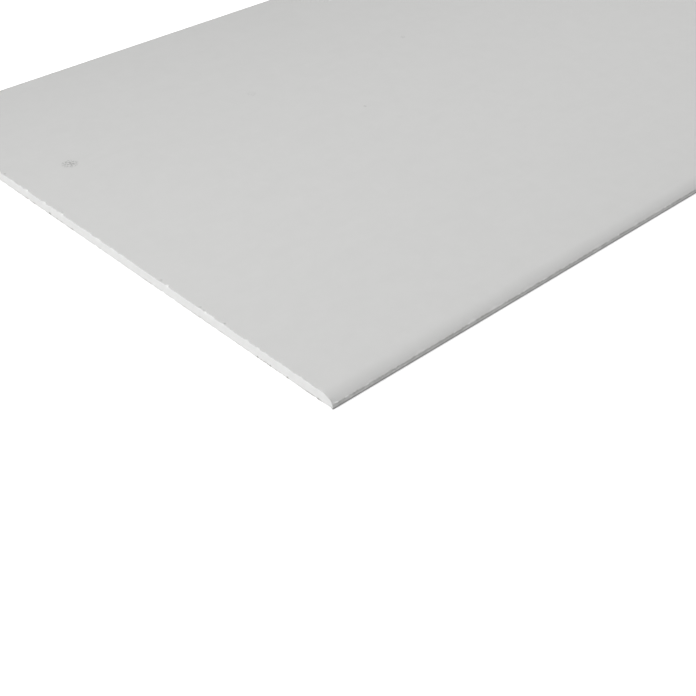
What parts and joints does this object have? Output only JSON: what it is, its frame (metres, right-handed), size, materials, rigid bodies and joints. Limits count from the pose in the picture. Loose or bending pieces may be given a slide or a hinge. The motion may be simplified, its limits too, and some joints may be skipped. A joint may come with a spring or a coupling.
{
  "type": "drywall sheet",
  "caption": "Flat gypsum plasterboard sheet with paper-wrapped rounded long edges and square cut ends, for lining walls and ceilings.",
  "frame": {"origin": "middle of the underside, on the outside of the back paper", "axes": "+X along the sheet's length, +Y across its width, +Z out of its face"},
  "size_m": [2, 0.6, 0.0095],
  "materials": {
    "gypsum": "matte",
    "face_liner": "matte",
    "back_liner": "matte"
  },
  "bodies": {
    "root": {"gypsum_core": "gypsum", "face_paper": "face_liner", "back_paper": "back_liner"}
  },
  "joints": []
}
